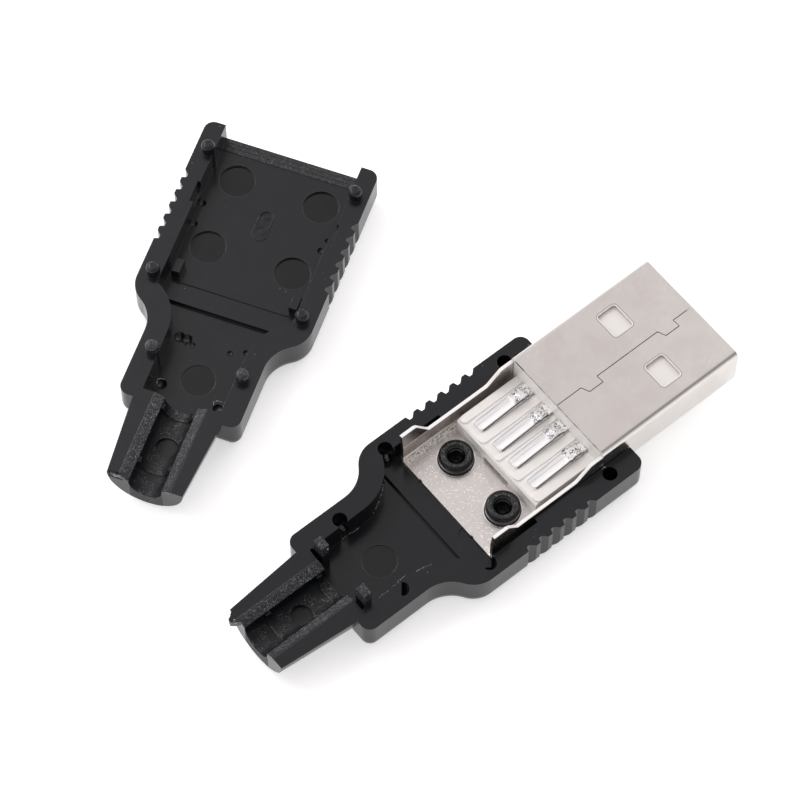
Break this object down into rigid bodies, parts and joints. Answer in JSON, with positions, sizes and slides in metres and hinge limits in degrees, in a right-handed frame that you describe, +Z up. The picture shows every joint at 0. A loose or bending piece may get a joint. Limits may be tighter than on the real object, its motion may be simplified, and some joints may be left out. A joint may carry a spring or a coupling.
{
  "type": "usb-a plug",
  "caption": "Solder-type plug kit: a folded metal shell with insulator and solder tails seated in a black base half, and the matching cover half lying open beside it.",
  "frame": {"origin": "on the flat underside of the base half, in the plug's middle plane, under the grip", "axes": "+X from the cable end to the plug's mouth, +Z up from the underside, +Y across the plug"},
  "size_m": [0.0481, 0.0499, 0.0063],
  "materials": {
    "case_plastic": "satin black moulding",
    "shell_metal": "satin nickel plate",
    "insulator_plastic": "cream white moulding",
    "contact_metal": "bright tin plate"
  },
  "bodies": {
    "root": {"base_case": "case_plastic", "cover_case": "case_plastic", "plug_shell": "shell_metal", "insulator": "insulator_plastic", "contact_vbus": "contact_metal", "contact_data_minus": "contact_metal", "contact_data_plus": "contact_metal", "contact_ground": "contact_metal"}
  },
  "joints": []
}
